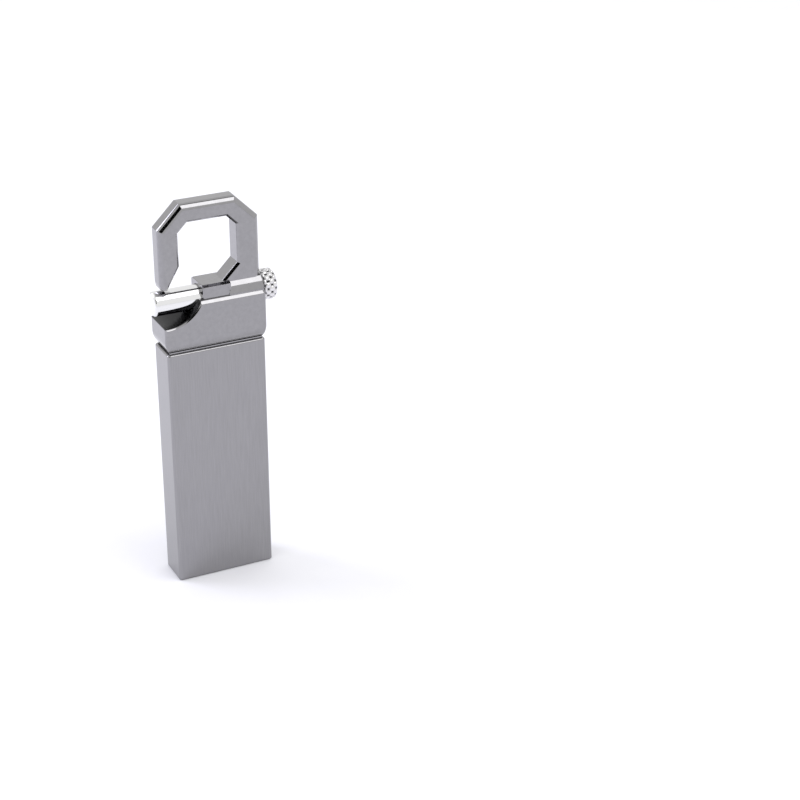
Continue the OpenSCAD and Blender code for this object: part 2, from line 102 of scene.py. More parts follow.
def gunmetal_plating(name, grain_mm, grain_stretch, grain_depth, scoop=None):
    """Polished black-nickel plating: a grey mirror, slightly hazy. The metal under
    it leaves a faint grain, grain_mm wide and grain_stretch times as long. scoop is a
    cylinder along Y, (x, z, radius, top z) in mm, whose wall is rougher and painted dark as shade."""
    made, tree = new_material(name)
    place = add(tree, "TexCoord").outputs["Object"]
    grain = add(tree, "Mapping", {"Vector": place, "Scale": (1, 1, 1 / grain_stretch)})
    lines = add(tree, "TexNoise", {
        "Vector": grain.outputs["Vector"], "Scale": per_metre(grain_mm),
        "Detail": 3.0, "Roughness": 0.6,
    })
    # Handling leaves a haze in patches of a few millimetres.
    haze = add(tree, "TexNoise", {"Vector": place, "Scale": per_metre(HAZE_PATCH), "Detail": 2.0})
    gloss = add(tree, "MapRange", {
        "Value": haze.outputs["Fac"], "From Min": 0.3, "From Max": 0.7,
        "To Min": 0.06, "To Max": 0.1,
    })
    tone = add(tree, "ValToRGB", {"Fac": lines.outputs["Fac"]})
    tone.color_ramp.elements[0].position = 0.3
    tone.color_ramp.elements[0].color = linear("#949395")
    tone.color_ramp.elements[1].position = 0.7
    tone.color_ramp.elements[1].color = linear("#9B9A9C")
    relief = add(tree, "Bump", {
        "Height": lines.outputs["Fac"], "Strength": 1.0, "Distance": grain_depth * MM,
    })
    # Painted shade: the colour darkens in recesses, where other surfaces stand near.
    recess = add(tree, "AmbientOcclusion", {"Distance": RECESS_REACH * MM}, samples=8)
    shade = add(tree, "MapRange", {
        "Value": recess.outputs["AO"], "From Min": 0.1, "From Max": 0.6,
        "To Min": 0.65, "To Max": 1.0,
    })
    painted_recess_shade = add(tree, "Mix", {
        "Factor": shade.outputs["Result"], "A": linear("#1A1A1C"), "B": tone.outputs["Color"],
    }, data_type="RGBA")
    colour, roughness = painted_recess_shade.outputs["Result"], gloss.outputs["Result"]
    if scoop:
        x, z, radius, top = scoop
        flat = add(tree, "VectorMath", {0: place, 1: (1, 0, 1)}, operation="MULTIPLY")
        reach = add(tree, "VectorMath", {
            0: flat.outputs["Vector"], 1: (x * MM, 0, z * MM),
        }, operation="DISTANCE")
        inside = add(tree, "MapRange", {
            "Value": reach.outputs["Value"], "From Min": (radius + SCOOP_FADE[0]) * MM,
            "From Max": (radius + SCOOP_FADE[1]) * MM, "To Min": 1.0, "To Max": 0.0,
        })
        axes = add(tree, "SeparateXYZ", {"Vector": place})
        below = add(tree, "Math", {0: axes.outputs["Z"], 1: top * MM}, operation="LESS_THAN")
        scoop_painted_shade = add(tree, "Math", {
            0: inside.outputs["Result"], 1: below.outputs["Value"],
        }, operation="MULTIPLY")
        # Painted shade: the scoop's wall is coloured near black.
        colour = add(tree, "Mix", {
            "Factor": scoop_painted_shade.outputs["Value"], "A": colour, "B": linear("#1D1D1F"),
        }, data_type="RGBA").outputs["Result"]
        roughness = add(tree, "MapRange", {
            "Value": scoop_painted_shade.outputs["Value"], "To Min": roughness, "To Max": 0.28,
        }).outputs["Result"]
    metal = add(tree, "BsdfPrincipled", {
        "Base Color": colour, "Roughness": roughness, "Normal": relief.outputs["Normal"],
        "Metallic": 1.0,
    })
    add(tree, "OutputMaterial", {"Surface": metal.outputs["BSDF"]})
    return made


def dress(piece, material):
    """Gives a piece one material."""
    piece.data.materials.clear()
    piece.data.materials.append(material)


def rounded_ring(width, depth, corner, steps):
    """Points of a rounded rectangle about the origin, counter-clockwise, in mm."""
    points = []
    for quarter, (sx, sy) in enumerate(((1, 1), (-1, 1), (-1, -1), (1, -1))):
        for step in range(steps + 1):
            angle = math.radians(90 * (quarter + step / steps))
            points.append((
                sx * (width / 2 - corner) + corner * math.cos(angle),
                sy * (depth / 2 - corner) + corner * math.sin(angle),
            ))
    return points


def lofted(name, rings, closed):
    """Mesh through rings of 3-D points in mm. closed joins the last ring to the
    first; otherwise both ends are capped."""
    mesh = bmesh.new()
    rows = [[mesh.verts.new(Vector(p) * MM) for p in ring] for ring in rings]
    pairs = list(zip(rows, rows[1:]))
    if closed:
        pairs.append((rows[-1], rows[0]))
    else:
        mesh.faces.new(list(reversed(rows[0])))
        mesh.faces.new(rows[-1])
    for low, high in pairs:
        for i in range(len(low)):
            j = (i + 1) % len(low)
            mesh.faces.new((low[i], low[j], high[j], high[i]))
    bmesh.ops.recalc_face_normals(mesh, faces=mesh.faces)
    for face in mesh.faces:
        face.smooth = True
    data = bpy.data.meshes.new(name)
    mesh.to_mesh(data)
    mesh.free()
    piece = bpy.data.objects.new(name, data)
    bpy.context.scene.collection.objects.link(piece)
    return piece


def even_normals(piece):
    """Keeps large flats flat beside their rounded edges."""
    weighted = piece.modifiers.new("even_normals", "WEIGHTED_NORMAL")
    weighted.mode = "FACE_AREA"
    weighted.keep_sharp = True


tube_low, tube_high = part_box("plug_shell")
TUBE_WIDTH = (tube_high.x - tube_low.x) / MM
TUBE_DEPTH = (tube_high.y - tube_low.y) / MM
TUBE_LENGTH = (tube_high.z - tube_low.z) / MM
TUBE_WALL = 0.32
TUBE_CORNER = 0.4
TUBE_RIM = 0.22
INNER_RIM = 0.06
CORNER_STEPS = 10
RIM_STEPS = 6

tube_rings = []
for end in (0, 1):
    rim = []
    for step in range(RIM_STEPS + 1):
        turn = math.radians(90 * step / RIM_STEPS)
        inset = TUBE_RIM * (1 - math.sin(turn))
        rim.append((inset, TUBE_RIM * (1 - math.cos(turn))))
    inner = [(TUBE_WALL - INNER_RIM, 0), (TUBE_WALL, INNER_RIM)]
    profile = list(reversed(inner)) + rim
    if end:
        profile = [(inset, TUBE_LENGTH - rise) for inset, rise in reversed(profile)]
    for inset, height in profile:
        width, depth = TUBE_WIDTH - 2 * inset, TUBE_DEPTH - 2 * inset
        outline = rounded_ring(width, depth, TUBE_CORNER - inset, CORNER_STEPS)
        tube_rings.append([(x, y, height) for x, y in outline])

tube = lofted("drawn_tube", tube_rings, closed=True)
even_normals(tube)
dress(tube, gunmetal_plating(
    "gunmetal_on_drawn_steel", grain_mm=0.12, grain_stretch=25, grain_depth=0.0004))
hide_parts("plug_shell")
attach(tube, "drive")


# ------------------------------------------------------- head with the hook
# Spigot, head block, barrel and hook are one zinc die-casting. It is tumbled and
# buffed before the same gunmetal plating, so its edges are crisp but not sharp.

def lathe(name, profile, height, steps):
    """Piece turned about a line along X at the given height, from points of
    (distance along X, radius)."""
    rings = []
    for along, radius in profile:
        ring = []
        for step in range(steps):
            turn = math.tau * step / steps
            ring.append((along, radius * math.cos(turn), height + radius * math.sin(turn)))
        rings.append(ring)
    return lofted(name, rings, closed=False)


def arc(centre, radius, start, end, steps):
    """Points of an arc, angles in degrees from the first axis."""
    points = []
    for step in range(steps + 1):
        turn = math.radians(start + (end - start) * step / steps)
        points.append((centre[0] + radius * math.cos(turn), centre[1] + radius * math.sin(turn)))
    return points


def rounded_corner(before, corner, after, radius, steps):
    """Points of the arc that rounds one corner of a flat path."""
    corner = Vector(corner)
    back = (Vector(before) - corner).normalized()
    ahead = (Vector(after) - corner).normalized()
    half = back.angle(ahead) / 2
    touch = radius / math.tan(half)
    centre = corner + (back + ahead).normalized() * (radius / math.sin(half))
    first = corner + back * touch - centre
    last = corner + ahead * touch - centre
    points = []
    for step in range(steps + 1):
        share = step / steps
        points.append(centre + radius * first.slerp(last, share))
    return points


def moved_edges(points, distances):
    """Closed counter-clockwise outline with each edge moved inward by its distance."""
    lines = []
    for i, point in enumerate(points):
        ahead = (Vector(points[(i + 1) % len(points)]) - Vector(point)).normalized()
        inward = Vector((-ahead.y, ahead.x))
        lines.append((Vector(point) + inward * distances[i], ahead))
    corners = []
    for (a, u), (b, v) in zip(lines[-1:] + lines[:-1], lines):
        # The corner before edge b is where the two moved edges cross.
        along = (b - a).cross(v) / u.cross(v)
        corners.append(a + u * along)
    return corners


def edge_profile(half_thickness, bevel, rounding, steps=5):
    """Section of a bevelled edge as (inset, |y|), from the side wall to the face."""
    # wall and face only give the directions of the two flats beside the bevel.
    wall, face = (0, half_thickness - 2 * bevel), (3 * bevel, half_thickness)
    low, high = (0, half_thickness - bevel), (bevel, half_thickness)
    side = rounded_corner(wall, low, high, rounding, steps)
    return side + rounded_corner(low, high, face, rounding, steps)


def rounded_outline(points, radius, steps=3):
    """Closed outline with each corner rounded by radius."""
    ring = []
    for i, point in enumerate(points):
        ring += rounded_corner(points[i - 1], point, points[(i + 1) % len(points)], radius, steps)
    return ring


def bevelled_plate(name, outline, edges, profile, corner, outward=1):
    """Plate in the XZ plane lofted through its bevelled edges. edges gives each
    edge's share of the bevel; outward -1 makes the bevels of a cutter."""
    both = [(inset, -y) for inset, y in reversed(profile)] + list(profile)
    rings = []
    for inset, y in both:
        points = moved_edges(outline, [outward * inset * share for share in edges])
        rings.append([(x, y, z) for x, z in rounded_outline(points, corner)])
    return lofted(name, rings, closed=False)


def combine(piece, tool, operation):
    """Joins a tool to a piece or cuts the piece with it. The tool is used up."""
    step = piece.modifiers.new("combine", "BOOLEAN")
    step.operation = operation
    step.solver = "EXACT"
    step.object = tool
    bpy.context.view_layer.update()
    ready = piece.evaluated_get(bpy.context.evaluated_depsgraph_get())
    piece.data = bpy.data.meshes.new_from_object(ready)
    piece.modifiers.clear()
    bpy.data.objects.remove(tool)


head_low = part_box("hook_head")[0]
pin_low, pin_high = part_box("lock_pin")
PIN_HEIGHT = (pin_low.z + pin_high.z) / 2 / MM
# Main sizes are the same as in the casting's solid, but only the spigot's low end
# and the pin's height are read from it. The edge rounds, the ledge's bevel and the
# saddle's chamfer are for looks and are only here.
SPIGOT_SIZE = (11.32, 3.82)
SPIGOT_CORNER = 0.08
SPIGOT_CHAMFER = 0.15
HEAD_SIZE = (12.4, 4.9)
HEAD_CORNER = 0.4
HEAD_START = 29.7
LEDGE_HEIGHT = 35.5
LEDGE_BEVEL = 0.32
LEDGE_EDGE_ROUND = 0.12
# The block's lower edges turn in on this radius.
UNDER_RADIUS = 2.3
UNDER_STEPS = 12

BARREL_SPAN = (1.8, 6.2)
BARREL_RADIUS = 2.14
BARREL_ROUND = 0.3
BARREL_ROUND_STEPS = 6
BARREL_CHAMFER = 0.2
# The saddle's top is the floor of the hook's eye.
EYE_FLOOR = 37.1
SADDLE_SPAN = (-1.3, 2.1)
SADDLE_HALF = 1.91
SADDLE_ROUND = 0.16
SADDLE_EDGE_ROUND = 0.03
SADDLE_STEPS = 6
SADDLE_CHAMFER = (0.42, 0.21)

SCOOP_CENTRE = (-5.9, 37.45)
SCOOP_RADIUS = 4.6
SCOOP_BEVEL = 0.2
SCOOP_EDGE_ROUND = 0.08
SCOOP_STEPS = 120
# The scoop's rougher finish and painted shade stop here, below the pin and the hook.
SCOOP_TOP = 36.5

HOOK_HALF = 1.35
HOOK_SIDE = 6.05
HOOK_FOOT = 35.25
HOOK_TOP = 46.95
HOOK_CUT = 2.75
HOOK_BEVEL = 0.5
HOOK_EDGE_ROUND = 0.62
HOOK_CORNER_ROUND = 0.1
# The arm's free end: its flat tip along X, and how far its outer slope rises.
TIP_SPAN = (-5.95, -5.2)
TIP_SLOPE = 0.6
TIP_BEVEL_SHARE = 0.2
EYE_SPAN = (-3.7, 3.3)
EYE_TOP = 44.75
EYE_CUT = 1.15
EYE_LOW_CUT = 1.9
EYE_BEVEL = 0.3
EYE_EDGE_ROUND = 0.12
EYE_CORNER_ROUND = 0.08
EYE_DROP = 0.05
GATE_HEIGHTS = (34.25, 39.7)

BORE_RADIUS = 1.49
BORE_END = 5.4
STEM_HOLE = 0.65
TURN_STEPS = 96
SHARP_ANGLE = math.radians(24)
# A cutter ends PAST a face that it would lie flush with, and CLEAR of the others.
PAST = 0.004
CLEAR = 1.2
# Smallest step or radius of a solid before it is joined or cut.
FINE = 0.01
# Heights nearer than this are the same.
SAME = 0.0025

# Spigot and block in one: the block's lower edges turn in to the spigot's size.
head_rings = []
spigot_low = head_low.z / MM
sections = [(spigot_low, SPIGOT_CHAMFER), (spigot_low + SPIGOT_CHAMFER, 0), (HEAD_START - FINE, 0)]
for height, inset in sections:
    width, depth = (size - 2 * inset for size in SPIGOT_SIZE)
    outline = rounded_ring(width, depth, SPIGOT_CORNER, CORNER_STEPS)
    head_rings.append([(x, y, height) for x, y in outline])
turn_in = (HEAD_SIZE[0] - SPIGOT_SIZE[0]) / 2
under_height = math.sqrt(UNDER_RADIUS ** 2 - (UNDER_RADIUS - turn_in) ** 2)
sections = []
for step in range(UNDER_STEPS + 1):
    rise = under_height * step / UNDER_STEPS
    inset = UNDER_RADIUS - math.sqrt(UNDER_RADIUS ** 2 - (under_height - rise) ** 2)
    sections.append((HEAD_START + rise, inset))
for inset, height in edge_profile(LEDGE_HEIGHT, LEDGE_BEVEL, LEDGE_EDGE_ROUND):
    sections.append((height, inset))
for height, inset in sections:
    corner = max(HEAD_CORNER - inset, SPIGOT_CORNER)
    width, depth = (size - 2 * inset for size in HEAD_SIZE)
    outline = rounded_ring(width, depth, corner, CORNER_STEPS)
    head_rings.append([(x, y, height) for x, y in outline])
head = lofted("cast_head", head_rings, closed=False)

# Round barrel behind the knob, and the squared saddle in front of it.
barrel_profile = [(BARREL_SPAN[0], FINE)]
shoulder = (BARREL_SPAN[0] + BARREL_ROUND, BARREL_RADIUS - BARREL_ROUND)
barrel_profile += arc(shoulder, BARREL_ROUND, 180, 90, BARREL_ROUND_STEPS)
barrel_profile += [(BARREL_SPAN[1] - BARREL_CHAMFER, BARREL_RADIUS)]
barrel_profile += [(BARREL_SPAN[1], BARREL_RADIUS - BARREL_CHAMFER), (BARREL_SPAN[1], FINE)]
barrel = lathe("barrel", barrel_profile, PIN_HEIGHT, TURN_STEPS)
saddle_rings = []
for step in range(SADDLE_STEPS + 1):
    turn = math.radians(90 * step / SADDLE_STEPS)
    inset = SADDLE_ROUND * (1 - math.sin(turn))
    side, top = SADDLE_HALF - inset, EYE_FLOOR - PIN_HEIGHT - inset
    corners = [(side, -top), (side, top - SADDLE_CHAMFER[1]), (side - SADDLE_CHAMFER[0], top)]
    corners += [(-y, z) for y, z in reversed(corners)]
    ring = rounded_outline(corners, SADDLE_EDGE_ROUND)
    along = SADDLE_SPAN[0] + SADDLE_ROUND * (1 - math.cos(turn))
    saddle_rings.append([(along, y, PIN_HEIGHT + z) for y, z in ring])
saddle_rings.append([(SADDLE_SPAN[1], y, z) for x, y, z in saddle_rings[-1]])
saddle = lofted("saddle", saddle_rings, closed=False)
combine(head, saddle, "UNION")
combine(head, barrel, "UNION")

# Finger scoop under the pin, flared at both faces.
head_half = HEAD_SIZE[1] / 2
scoop_profile = edge_profile(head_half, SCOOP_BEVEL, SCOOP_EDGE_ROUND)
scoop_profile.append(Vector((scoop_profile[-1].x, head_half + CLEAR)))
last_turn = 360 * (1 - 1 / SCOOP_STEPS)
scoop_rings = []
for grow, y in [(g, -y) for g, y in reversed(scoop_profile)] + list(scoop_profile):
    past = PAST if abs(y) > head_half - SAME else 0
    ring = arc(SCOOP_CENTRE, SCOOP_RADIUS + grow, 0, last_turn, SCOOP_STEPS - 1)
    scoop_rings.append([(x, y + math.copysign(past, y), z) for x, z in ring])
combine(head, lofted("scoop", scoop_rings, closed=False), "DIFFERENCE")

# Hook plate, its eye, and the way in past the pin.
hook_outline = [
    (TIP_SPAN[0], EYE_FLOOR), (HOOK_SIDE, HOOK_FOOT), (HOOK_SIDE, HOOK_TOP - HOOK_CUT),
    (HOOK_SIDE - HOOK_CUT, HOOK_TOP), (HOOK_CUT - HOOK_SIDE, HOOK_TOP),
    (-HOOK_SIDE, HOOK_TOP - HOOK_CUT), (-HOOK_SIDE, EYE_FLOOR + TIP_SLOPE),
]
hook_edges = [TIP_BEVEL_SHARE] + [1] * (len(hook_outline) - 1)
hook_profile = edge_profile(HOOK_HALF, HOOK_BEVEL, HOOK_EDGE_ROUND)
hook = bevelled_plate("hook", hook_outline, hook_edges, hook_profile, HOOK_CORNER_ROUND)
# The eye is cut a little low, into the saddle, so that no two faces lie flush.
eye_left, eye_right = EYE_SPAN
low = EYE_FLOOR - EYE_DROP
eye_outline = [
    (eye_left, low), (eye_right - EYE_LOW_CUT - EYE_DROP, low),
    (eye_right, EYE_FLOOR + EYE_LOW_CUT), (eye_right, EYE_TOP - EYE_CUT),
    (eye_right - EYE_CUT, EYE_TOP), (eye_left + EYE_CUT, EYE_TOP), (eye_left, EYE_TOP - EYE_CUT),
]
gate_low, gate_top = GATE_HEIGHTS
gate_outline = [
    (TIP_SPAN[1], gate_low), (SADDLE_SPAN[0], gate_low), (SADDLE_SPAN[0], gate_top),
    (eye_left, gate_top), (TIP_SPAN[1], EYE_FLOOR),
]
eye_profile = edge_profile(HOOK_HALF, EYE_BEVEL, EYE_EDGE_ROUND)
eye_profile[-1].y += PAST
eye_profile.append(Vector((eye_profile[-1].x, HOOK_HALF + CLEAR)))
for name, outline in (("eye", eye_outline), ("gate_way", gate_outline)):
    edges = [1] * len(outline)
    cutter = bevelled_plate(name, outline, edges, eye_profile, EYE_CORNER_ROUND, outward=-1)
    combine(hook, cutter, "DIFFERENCE")
combine(head, hook, "UNION")

# Stepped bore for the pin and its spring, then for the stem.
bore_reach = BARREL_SPAN[1] + CLEAR
bore_profile = [
    (-bore_reach, FINE), (-bore_reach, BORE_RADIUS), (BORE_END, BORE_RADIUS),
    (BORE_END, STEM_HOLE), (bore_reach, STEM_HOLE), (bore_reach, FINE),
]
combine(head, lathe("bore", bore_profile, PIN_HEIGHT, TURN_STEPS), "DIFFERENCE")
for face in head.data.polygons:
    face.use_smooth = True
head.data.set_sharp_from_angle(angle=SHARP_ANGLE)
even_normals(head)
dress(head, gunmetal_plating(
    "gunmetal_on_zinc_casting", grain_mm=0.5, grain_stretch=1, grain_depth=0.0006,
    scoop=(*SCOOP_CENTRE, SCOOP_RADIUS, SCOOP_TOP)))
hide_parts("hook_head")
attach(head, "drive")


# ------------------------------------------------------------------ gate pin
# The pin that closes the hook is turned from brass rod with its pull stem, then
# polished and chromed, so it is the brightest piece.

PIN_RADIUS = (pin_high.z - pin_low.z) / 2 / MM
PIN_NOSE = pin_low.x / MM
PIN_END = pin_high.x / MM
PIN_SHOULDER = -0.2
STEM_RADIUS = 0.6
NOSE_ROUND = 0.3
NOSE_STEPS = 8
SHOULDER_ROUND = 0.08
SHOULDER_STEPS = 4
STEM_FILLET = 0.04
STEM_BREAK = 0.05
# Turned ends close at this radius.
CORE = 0.02
# Tool marks run round the pin. Real ones are finer than 0.02 mm and would not show.
MARK_PITCH = 0.09
MARK_STRETCH = 50
MARK_DEPTH = 0.0002

pin_profile = [(PIN_NOSE, CORE)]
nose = (PIN_NOSE + NOSE_ROUND, PIN_RADIUS - NOSE_ROUND)
pin_profile += arc(nose, NOSE_ROUND, 180, 90, NOSE_STEPS)
shoulder = (PIN_SHOULDER - SHOULDER_ROUND, PIN_RADIUS - SHOULDER_ROUND)
pin_profile += arc(shoulder, SHOULDER_ROUND, 90, 0, SHOULDER_STEPS)
pin_profile += [
    (PIN_SHOULDER, STEM_RADIUS + STEM_FILLET), (PIN_SHOULDER + STEM_FILLET, STEM_RADIUS),
    (PIN_END - STEM_BREAK, STEM_RADIUS), (PIN_END, STEM_RADIUS - STEM_BREAK), (PIN_END, CORE),
]

made, tree = new_material("polished_chrome")
place = add(tree, "TexCoord").outputs["Object"]
marks = add(tree, "Mapping", {
    "Vector": place, "Scale": (1, 1 / MARK_STRETCH, 1 / MARK_STRETCH),
})
rings_noise = add(tree, "TexNoise", {
    "Vector": marks.outputs["Vector"], "Scale": per_metre(MARK_PITCH), "Detail": 2.0,
})
chrome_gloss = add(tree, "MapRange", {
    "Value": rings_noise.outputs["Fac"], "From Min": 0.3, "From Max": 0.7,
    "To Min": 0.04, "To Max": 0.1,
})
ring_relief = add(tree, "Bump", {
    "Height": rings_noise.outputs["Fac"], "Strength": 1.0, "Distance": MARK_DEPTH * MM,
})
metal = add(tree, "BsdfPrincipled", {
    "Base Color": linear("#E6E6E6"), "Metallic": 1.0, "Roughness": chrome_gloss.outputs["Result"],
    "Normal": ring_relief.outputs["Normal"],
})
add(tree, "OutputMaterial", {"Surface": metal.outputs["BSDF"]})
pin = lathe("turned_pin", pin_profile, PIN_HEIGHT, TURN_STEPS)
even_normals(pin)
dress(pin, made)
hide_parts("lock_pin")
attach(pin, "gate_pin")


# --------------------------------------------------------------------- knob
# The knob is pressed on the stem. Its rim is rolled with a diamond knurl and
# nickel-plated. Its colour is painted dark towards the bottoms of the grooves, as shade.

knob_low, knob_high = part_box("pin_knob")
KNOB_START = knob_low.x / MM
KNOB_END = knob_high.x / MM
KNOB_RADIUS = (knob_high.z - knob_low.z) / 2 / MM
KNOB_ROUND = 0.55
KNOB_ROUND_STEPS = 10
KNOB_INNER_ROUND = 0.4
KNOB_INNER_STEPS = 8
KNOB_SIDE_STEPS = 16
KNOB_HOLE = 0.62
# The parting tool dishes the outer face a little: (radius, depth) from the rim in.
KNOB_DISH = ((0.9, 0.02), (0.3, 0.05), (CORE, 0.05))
KNURL_COUNT = 12
KNURL_DEPTH = 0.2
KNURL_STEPS = 14
KNURL_PITCH = math.tau * KNOB_RADIUS / KNURL_COUNT
# Slope of the grooves' walls. Above 1 it leaves a flat on top of each diamond.
KNURL_WALL = 1.5
# How far in from the side the knurl is gone, and how far in it is still full.
KNURL_FADE = (0.42, 0.22)


def knurl(turn, along):
    """Height of the diamond knurl, 0 where grooves cross and 1 on a diamond's flat top."""
    walls = []
    for lean in (-1, 1):
        line = turn / math.tau * KNURL_COUNT + lean * along / KNURL_PITCH
        walls.append(min(KNURL_WALL * (1 - 2 * abs(line % 1 - 0.5)), 1))
    # Real grooves are of even depth. Here they deepen where two of them cross, so that
    # the diamonds still show from a distance.
    return sum(walls) / 2


knob_profile = [(KNOB_START, KNOB_HOLE)]
side_start = KNOB_START + KNOB_INNER_ROUND
side_length = KNOB_END - KNOB_ROUND - side_start
inner_rim = (side_start, KNOB_RADIUS - KNOB_INNER_ROUND)
knob_profile += arc(inner_rim, KNOB_INNER_ROUND, 180, 90, KNOB_INNER_STEPS)
for step in range(1, KNOB_SIDE_STEPS):
    knob_profile.append((side_start + side_length * step / KNOB_SIDE_STEPS, KNOB_RADIUS))
outer_rim = (KNOB_END - KNOB_ROUND, KNOB_RADIUS - KNOB_ROUND)
knob_profile += arc(outer_rim, KNOB_ROUND, 90, 0, KNOB_ROUND_STEPS)
knob_profile += [(KNOB_END - depth, radius) for radius, depth in KNOB_DISH]

around = KNURL_COUNT * KNURL_STEPS
knob_rings, heights = [], []
for along, radius in knob_profile:
    risen = (radius - (KNOB_RADIUS - KNURL_FADE[0])) / (KNURL_FADE[0] - KNURL_FADE[1])
    reach = min(max(risen, 0), 1)
    ring = []
    for step in range(around):
        turn = math.tau * step / around
        height = 1 - reach * (1 - knurl(turn, along))
        r = radius - KNURL_DEPTH * (1 - height)
        ring.append((along, r * math.cos(turn), PIN_HEIGHT + r * math.sin(turn)))
        heights.append(height)
    knob_rings.append(ring)
knob = lofted("knurled_knob", knob_rings, closed=False)
knurl_height = knob.data.attributes.new("knurl_height", "FLOAT", "POINT")
knurl_height.data.foreach_set("value", heights)

made, tree = new_material("knurled_nickel_plate")
groove = add(tree, "Attribute", attribute_name="knurl_height")
place = add(tree, "TexCoord").outputs["Object"]
# Painted shade: the colour turns near black towards the bottoms of the grooves.
tone = add(tree, "ValToRGB", {"Fac": groove.outputs["Fac"]})
tone.color_ramp.elements[0].position = 0.22
tone.color_ramp.elements[0].color = linear("#1E1E20")
tone.color_ramp.elements[1].position = 0.66
tone.color_ramp.elements[1].color = linear("#DEDDDE")
scuffs = add(tree, "TexNoise", {"Vector": place, "Scale": per_metre(0.25), "Detail": 3.0})
nickel_gloss = add(tree, "MapRange", {
    "Value": scuffs.outputs["Fac"], "From Min": 0.3, "From Max": 0.7,
    "To Min": 0.12, "To Max": 0.26,
})
metal = add(tree, "BsdfPrincipled", {
    "Base Color": tone.outputs["Color"], "Metallic": 1.0,
    "Roughness": nickel_gloss.outputs["Result"],
})
add(tree, "OutputMaterial", {"Surface": metal.outputs["BSDF"]})
dress(knob, made)
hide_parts("pin_knob")
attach(knob, "gate_pin")


# ------------------------------------------------------------ return spring
# Compression spring of drawn music wire on the stem, between the pin's shoulder and
# the barrel's end wall. It is bright. The real one shortens in the bore as the pin is pulled; this
# mesh keeps one length.

spring_low, spring_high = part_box("pin_spring")
WIRE = 0.28
SPRING_TURNS = 4
SPRING_STEPS = 40
WIRE_SIDES = 12
spring_start = spring_low.x / MM + WIRE / 2
spring_end = spring_high.x / MM - WIRE / 2
SPRING_RADIUS = (spring_high.z - spring_low.z) / 2 / MM - WIRE / 2

spring_rings = []
for step in range(SPRING_TURNS * SPRING_STEPS + 1):
    turn = math.tau * step / SPRING_STEPS
    share = step / (SPRING_TURNS * SPRING_STEPS)
    ring = []
    for side in range(WIRE_SIDES):
        lean = math.tau * side / WIRE_SIDES
        r = SPRING_RADIUS + WIRE / 2 * math.cos(lean)
        along = spring_start + (spring_end - spring_start) * share + WIRE / 2 * math.sin(lean)
        ring.append((along, r * math.sin(turn), PIN_HEIGHT + r * math.cos(turn)))
    spring_rings.append(ring)
spring = lofted("return_spring", spring_rings, closed=False)

made, tree = new_material("drawn_spring_wire")
place = add(tree, "TexCoord").outputs["Object"]
die_lines = add(tree, "TexNoise", {"Vector": place, "Scale": per_metre(0.15), "Detail": 2.0})
wire_gloss = add(tree, "MapRange", {
    "Value": die_lines.outputs["Fac"], "From Min": 0.3, "From Max": 0.7,
    "To Min": 0.2, "To Max": 0.34,
})
metal = add(tree, "BsdfPrincipled", {
    "Base Color": linear("#B9BABD"), "Metallic": 1.0, "Roughness": wire_gloss.outputs["Result"],
})
add(tree, "OutputMaterial", {"Surface": metal.outputs["BSDF"]})
dress(spring, made)
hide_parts("pin_spring")
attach(spring, "drive")
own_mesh(spring)


# ------------------------------------------------------- contact insulator
# The blue tongue and the base behind it are one moulding of glass-filled nylon.
# It is pushed into the tube from behind, and its skin is satin from the mould.

MICRON = 0.001 * MM
TEXTURE_PER_PATCH = 8


def satin_finish(name, tones, patch_mm, gloss, relief_um=0.0, metallic=0.0):
    """Finish with soft patches between two tones. gloss is its least and most
    roughness; relief_um is the depth of its fine texture in thousandths of a mm."""
    made, tree = new_material(name)
    place = add(tree, "TexCoord").outputs["Object"]
    patches = add(tree, "TexNoise", {"Vector": place, "Scale": per_metre(patch_mm), "Detail": 3.0})
    tone = add(tree, "ValToRGB", {"Fac": patches.outputs["Fac"]})
    tone.color_ramp.elements[0].position = 0.35
    tone.color_ramp.elements[0].color = linear(tones[0])
    tone.color_ramp.elements[1].position = 0.65
    tone.color_ramp.elements[1].color = linear(tones[1])
    roughness = add(tree, "MapRange", {
        "Value": patches.outputs["Fac"], "From Min": 0.35, "From Max": 0.65,
        "To Min": gloss[0], "To Max": gloss[1],
    })
    texture = add(tree, "TexNoise", {
        "Vector": place, "Scale": per_metre(patch_mm / TEXTURE_PER_PATCH), "Detail": 2.0,
    })
    relief = add(tree, "Bump", {
        "Height": texture.outputs["Fac"], "Strength": 1.0, "Distance": relief_um * MICRON,
    })
    surface = add(tree, "BsdfPrincipled", {
        "Base Color": tone.outputs["Color"], "Roughness": roughness.outputs["Result"],
        "Normal": relief.outputs["Normal"], "Metallic": metallic,
    })
    add(tree, "OutputMaterial", {"Surface": surface.outputs["BSDF"]})
    return made


dress(nodes["contact_insulator"], satin_finish(
    "blue_moulded_nylon", ("#2C46CC", "#3552D8"), 1.2, (0.32, 0.42), relief_um=0.6))


# ---------------------------------------------------------------- contacts
# Flat and sprung contacts are stamped from phosphor bronze, plated in gold over
# nickel, and pressed into the insulator and the carrier behind it. They are bright.

gold_plate = satin_finish(
    "gold_plated_bronze", ("#E3B45A", "#EDC36B"), 0.4, (0.16, 0.26),
    relief_um=0.2, metallic=1.0)
dress(nodes["flat_contacts"], gold_plate)
dress(nodes["fast_contacts"], gold_plate)


# ---------------------------------------------------------------- carriers
# Three black mouldings of liquid-crystal polymer hold the fast contacts and
# enclose the board. Their flow marks show as faint satin patches.

black_polymer = satin_finish(
    "black_moulded_polymer", ("#161617", "#1F1F21"), 0.8, (0.36, 0.5), relief_um=0.8)
for name in ("fast_carrier", "lower_carrier", "upper_carrier"):
    dress(nodes[name], black_polymer)


# ------------------------------------------------------------ circuit board
# Four-layer glass-epoxy board, pressed and drilled, under green solder mask. The
# mask is semi-gloss, in soft patches.

dress(nodes["circuit_board"], satin_finish(
    "green_solder_mask", ("#12482B", "#1B5A37"), 0.9, (0.22, 0.36), relief_um=1.5))


# ------------------------------------------------------------------- chips
# Controller, memory, regulator and surge protector are dies moulded in black
# epoxy, with a fine spark-eroded texture on top. All are soldered to the board.

